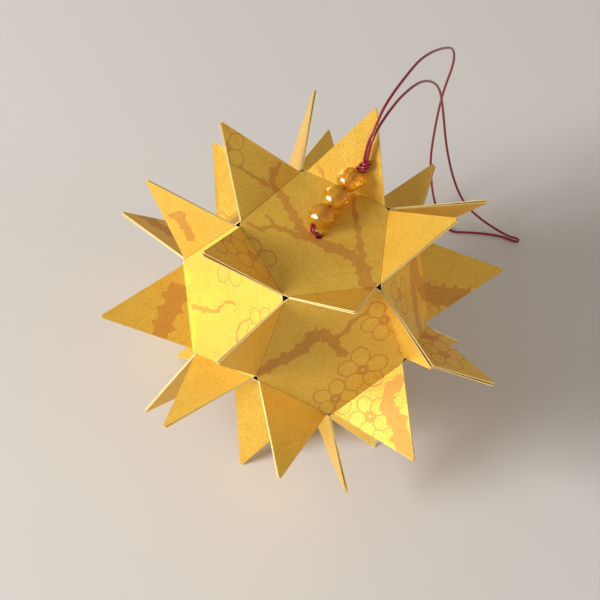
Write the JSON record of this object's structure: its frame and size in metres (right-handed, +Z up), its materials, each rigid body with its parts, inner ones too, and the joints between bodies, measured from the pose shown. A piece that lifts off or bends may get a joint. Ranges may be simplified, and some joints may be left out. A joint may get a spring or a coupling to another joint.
{
  "type": "paper star ball",
  "caption": "Folded gold card star ball with pointed fins on every side, amber glass beads and a thin red hanging cord.",
  "frame": {"origin": "on the table under the centre of the ball, midway between the fin tips it stands on", "axes": "+Z up out of the top card's cord hole, -Y towards the front card, +X to the right of it"},
  "size_m": [0.163, 0.1397, 0.1124],
  "materials": {
    "gold_card": "pearlescent satin",
    "amber_glass": "faceted, glossy",
    "red_cord": "waxed"
  },
  "bodies": {
    "root": {"star_card_top": "gold_card", "star_card_front": "gold_card", "star_card_right": "gold_card", "star_card_back_right": "gold_card", "star_card_back_left": "gold_card", "star_card_left": "gold_card", "star_card_low_front_right": "gold_card", "star_card_low_right": "gold_card", "star_card_low_back": "gold_card", "star_card_low_left": "gold_card", "star_card_low_front_left": "gold_card", "star_card_bottom": "gold_card", "bead_lower": "amber_glass", "bead_middle": "amber_glass", "bead_upper": "amber_glass", "cord_stem": "red_cord", "stop_knot": "red_cord", "cord_loop": "red_cord", "loop_knot": "red_cord"}
  },
  "joints": []
}
